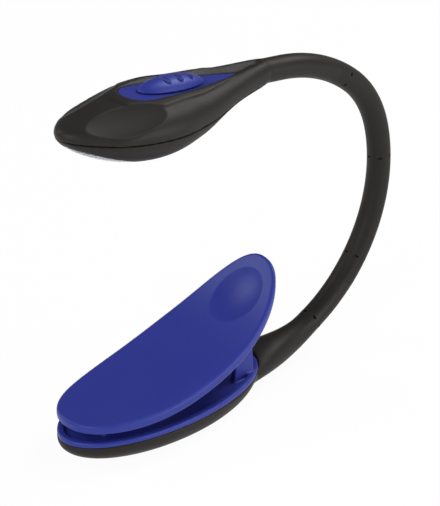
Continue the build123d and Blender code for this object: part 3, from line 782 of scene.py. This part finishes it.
def dimple_pair(name, half_sizes, lift):
    """A mirrored pair of leaning ellipsoids where the sides of the head are pressed in."""
    end, along = neck_point(NECK_LENGTH)
    upward = SIDEWAYS.cross(along)
    place = Matrix((along, upward.cross(along), upward)).transposed().to_4x4()
    place.translation = end
    place @= Matrix.Translation(DIMPLE_CENTRE)
    for axis, angle in DIMPLE_LEAN:
        place @= Matrix.Rotation(math.radians(angle), 4, axis)
    place @= Matrix.Translation((0, 0, lift))
    deselect_all()
    bpy.ops.mesh.primitive_uv_sphere_add(
        segments=64, ring_count=32, radius=1.0, location=place.translation, rotation=place.to_euler())
    pair = name_piece(name)
    pair.scale = half_sizes
    apply_place(pair)
    mirror = pair.modifiers.new("both sides", "MIRROR")
    mirror.use_axis = (False, True, False)
    apply_modifiers(pair)
    return pair


class LAMP_OT_head(bpy.types.Operator):
    """Makes the soft black head with the last length of neck, and its lower cover"""

    bl_idname = "lamp.head"
    bl_label = "Head"

    def execute(self, context):
        sizes = context.scene.lamp_sizes
        top = cad_copy("head_upper_shell", "head_skin")
        start = meeting_place("neck_side_4", "neck_pitch_5")
        end = NECK_LENGTH + HEAD_STEM_REACH
        radius = sizes.neck_radius + 3 * SKIN_STEP
        stem = neck_tube("head_stem", start, end, radius, STEM_RING, closed=True)
        join_into(top, stem, dimple_pair("backing", BACKING_HALF_SIZES, BACKING_LIFT))
        ease_edges(top, sizes.shell_grain, FIRST_ROUNDS)
        cut_away(top, dimple_pair("dimples", DIMPLE_HALF_SIZES, 0.0))
        ease_edges(top, sizes.shell_grain, SHELL_ROUNDS)
        wear(top, "soft_black")
        bend(top, "neck_pitch_5")
        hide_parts("head_upper_shell", "neck_sleeve_5")
        cover = cad_copy("head_lower_cover", "head_cover_skin")
        ease_edges(cover, sizes.shell_grain, SHELL_ROUNDS)
        wear(cover, "soft_black")
        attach(cover, "head")
        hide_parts("head_lower_cover")
        return {"FINISHED"}


class LAMP_OT_slider(bpy.types.Operator):
    """Makes the blue slider with soft grooves"""

    bl_idname = "lamp.slider"
    bl_label = "Slider"

    def execute(self, context):
        button = cad_copy("slider_button", "slider_cap")
        ease_edges(button, context.scene.lamp_sizes.button_grain, BUTTON_ROUNDS)
        wear(button, "blue_plastic")
        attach(button, "slider")
        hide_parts("slider_button")
        return {"FINISHED"}


def make_tray_floor():
    """The shallow floor that shows inside the tray, over its screw bosses."""
    deselect_all()
    bpy.ops.mesh.primitive_cylinder_add(
        vertices=128, radius=1.0, depth=TRAY_FLOOR_DEPTH, location=(0, 0, TRAY_FLOOR_HEIGHT))
    floor = name_piece("tray_floor")
    floor.scale = (*TRAY_FLOOR_HALF_SIZES, 1.0)
    apply_place(floor)
    return floor


class LAMP_OT_jaws(bpy.types.Operator):
    """Makes the two blue jaws with soft rims"""

    bl_idname = "lamp.jaws"
    bl_label = "Jaws"

    def execute(self, context):
        sizes = context.scene.lamp_sizes
        for node, name, body in (("upper_jaw", "jaw_skin", "jaw"), ("clip_tray", "tray_skin", "base")):
            jaw = cad_copy(node, name)
            if node == "clip_tray":
                join_into(jaw, make_tray_floor())
            ease_edges(jaw, sizes.jaw_grain, SHELL_ROUNDS)
            wear(jaw, "blue_plastic")
            if node == "upper_jaw":
                jaw.data.materials[0] = finish_of("dished_blue")
            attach(jaw, body)
            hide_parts(node)
        return {"FINISHED"}


class LAMP_OT_spring(bpy.types.Operator):
    """Winds the torsion spring that sits on the hinge pin between the tray and the jaw"""

    bl_idname = "lamp.spring"
    bl_label = "Spring"

    def execute(self, context):
        sizes = context.scene.lamp_sizes
        first = math.radians(TRAY_LEG_HEADING + 90.0)
        last = math.radians(JAW_LEG_HEADING - 90.0 + 360.0 * SPRING_TURNS)
        tray_way = Vector((math.sin(first), 0, -math.cos(first)))
        jaw_way = Vector((-math.sin(last), 0, math.cos(last)))
        start = PIN + Vector((math.cos(first), 0, math.sin(first))) * sizes.spring_coil
        start -= SIDEWAYS * SPRING_HALF_WIDTH
        deselect_all()
        bpy.ops.mesh.primitive_circle_add(
            vertices=WIRE_SIDES, radius=sizes.spring_wire, location=start,
            rotation=(-tray_way).to_track_quat("Z", "Y").to_euler())
        spring = name_piece("spring_coil")
        apply_place(spring)
        bpy.ops.object.mode_set(mode="EDIT")
        bpy.ops.mesh.select_all(action="SELECT")
        steps = round((last - first) / (2 * math.pi) * STEPS_A_TURN)
        for _ in range(steps):
            bpy.ops.mesh.spin(steps=1, angle=(last - first) / steps, center=tuple(PIN), axis=SIDEWAYS)
            bpy.ops.transform.translate(value=SIDEWAYS * (2 * SPRING_HALF_WIDTH / steps))
        bpy.ops.mesh.extrude_region_move(TRANSFORM_OT_translate={"value": jaw_way * JAW_LEG})
        bpy.ops.mesh.edge_face_add()
        bpy.ops.mesh.select_mode(type="VERT")
        bpy.ops.mesh.select_all(action="DESELECT")
        bpy.ops.object.mode_set(mode="OBJECT")
        for vertex in spring.data.vertices:
            vertex.select = (vertex.co - start).length < sizes.spring_wire * FIRST_RING_REACH
        bpy.ops.object.mode_set(mode="EDIT")
        bpy.ops.mesh.extrude_region_move(TRANSFORM_OT_translate={"value": tray_way * TRAY_LEG})
        bpy.ops.mesh.edge_face_add()
        bpy.ops.mesh.select_all(action="SELECT")
        bpy.ops.mesh.remove_doubles(threshold=DOUBLES)
        bpy.ops.mesh.normals_make_consistent(inside=False)
        bpy.ops.object.mode_set(mode="OBJECT")
        bpy.ops.object.shade_smooth_by_angle(angle=WIRE_CREASE)
        wear(spring, "steel")
        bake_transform(spring)
        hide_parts("torsion_spring")
        return {"FINISHED"}


# Stage

def paint_floor(floor, colour):
    """A pale floor that looks nearly white, with the lamp's soft shadow on it."""
    finish, tree, shader = new_finish("pale floor")
    shader.inputs["Roughness"].default_value = FLOOR_ROUGHNESS
    shader.inputs["Specular IOR Level"].default_value = FLOOR_SHINE
    cloud = tree.nodes.new("ShaderNodeTexNoise")
    cloud.inputs["Scale"].default_value = FLOOR_CLOUDS
    tree.links.new(object_place(tree), cloud.inputs["Vector"])
    dark, light = scaled(colour, 1 - FLOOR_DRIFT), scaled(colour, 1 + FLOOR_DRIFT)
    tint(tree, cloud.outputs["Fac"], dark, light, shader.inputs["Base Color"])
    glow = tree.nodes.new("ShaderNodeEmission")
    glow.inputs["Color"].default_value = (1, 1, 1, 1)
    rays = tree.nodes.new("ShaderNodeLightPath").outputs
    seen = rays["Is Camera Ray"]
    for label in ("Is Glossy Ray", "Is Transmission Ray"):
        seen = calculate(tree, "ShaderNodeMath", "MAXIMUM", seen, rays[label])["Value"]
    share = calculate(tree, "ShaderNodeMath", "MULTIPLY", seen, FLOOR_GLOW)["Value"]
    surface = tree.nodes["Material Output"].inputs["Surface"]
    mix_shaders(tree, share, shader.outputs["BSDF"], glow.outputs["Emission"], surface)
    floor.data.materials.append(finish)


def light_world(scene):
    """A plain pale surround that looks white to the camera."""
    scene.world = bpy.data.worlds.new("studio")
    scene.world.use_nodes = True
    tree = scene.world.node_tree
    plain = tree.nodes["Background"]
    plain.inputs["Color"].default_value = (1, 1, 1, 1)
    plain.inputs["Strength"].default_value = WORLD_LIGHT
    white = tree.nodes.new("ShaderNodeBackground")
    white.inputs["Color"].default_value = (1, 1, 1, 1)
    seen = tree.nodes.new("ShaderNodeLightPath").outputs["Is Camera Ray"]
    surface = tree.nodes["World Output"].inputs["Surface"]
    mix_shaders(tree, seen, plain.outputs["Background"], white.outputs["Background"], surface)


def add_light(name, place, size, power):
    """A square soft light that looks at the lamp."""
    deselect_all()
    bpy.ops.object.light_add(type="AREA", location=place)
    lamp = bpy.context.object
    lamp.name = name
    lamp.data.energy = power
    lamp.data.size = size
    lamp.rotation_euler = (LIGHT_AIM - Vector(place)).to_track_quat("-Z", "Y").to_euler()


def set_camera(scene, lens):
    """The photograph's viewpoint: a long lens, 28 degrees above the floor."""
    deselect_all()
    bpy.ops.object.camera_add(location=CAMERA_PLACE)
    camera = bpy.context.object
    camera.name = "camera"
    camera.rotation_euler = CAMERA_LOOK.to_track_quat("-Z", "Y").to_euler()
    camera.data.lens = lens
    camera.data.sensor_width = SENSOR_WIDTH
    camera.data.clip_start = 0.01
    scene.camera = camera


class LAMP_OT_stage(bpy.types.Operator):
    """Sets the floor, the light and the camera"""

    bl_idname = "lamp.stage"
    bl_label = "Stage"

    def execute(self, context):
        stage = context.scene.lamp_stage
        deselect_all()
        bpy.ops.mesh.primitive_plane_add(size=FLOOR_SIZE, location=(0, 0, -FLOOR_DROP))
        floor = name_piece("floor")
        apply_place(floor)
        paint_floor(floor, stage.floor_colour)
        for name, (place, size, power) in LIGHTS.items():
            add_light(name, place, size, power)
        light_world(context.scene)
        set_camera(context.scene, stage.lens_length)
        context.scene.view_settings.view_transform = "Standard"
        return {"FINISHED"}


# Add-on

class LAMP_PT_panel(bpy.types.Panel):
    """Lists the steps that dress the lamp"""

    bl_idname = "LAMP_PT_panel"
    bl_label = "Reading lamp"
    bl_space_type = "VIEW_3D"
    bl_region_type = "UI"
    bl_category = "Lamp"

    def draw(self, context):
        for step in STEPS:
            self.layout.operator(step.bl_idname)
        for group in GROUPS:
            settings = getattr(context.scene, group)
            for label in settings.bl_rna.properties.keys():
                if label not in ("rna_type", "name"):
                    self.layout.prop(settings, label)


STEPS = (LAMP_OT_bare_nodes, LAMP_OT_hull, LAMP_OT_neck, LAMP_OT_head, LAMP_OT_slider, LAMP_OT_jaws,
         LAMP_OT_spring, LAMP_OT_stage)
GROUPS = {"lamp_sizes": LampSizes, "lamp_finishes": LampFinishes, "lamp_stage": LampStage}


def register():
    """Registers the classes and the scene's settings."""
    for kind in (*GROUPS.values(), *STEPS, LAMP_PT_panel):
        bpy.utils.register_class(kind)
    for label, kind in GROUPS.items():
        setattr(bpy.types.Scene, label, bpy.props.PointerProperty(type=kind))


def unregister():
    """Takes the settings and the classes away again."""
    for label in GROUPS:
        delattr(bpy.types.Scene, label)
    for kind in reversed((*GROUPS.values(), *STEPS, LAMP_PT_panel)):
        bpy.utils.unregister_class(kind)


def main():
    """Dresses the lamp step by step."""
    register()
    bpy.ops.lamp.bare_nodes()
    bpy.ops.lamp.hull()
    bpy.ops.lamp.neck()
    bpy.ops.lamp.head()
    bpy.ops.lamp.slider()
    bpy.ops.lamp.jaws()
    bpy.ops.lamp.spring()
    bpy.ops.lamp.stage()


if __name__ == "__main__":
    main()
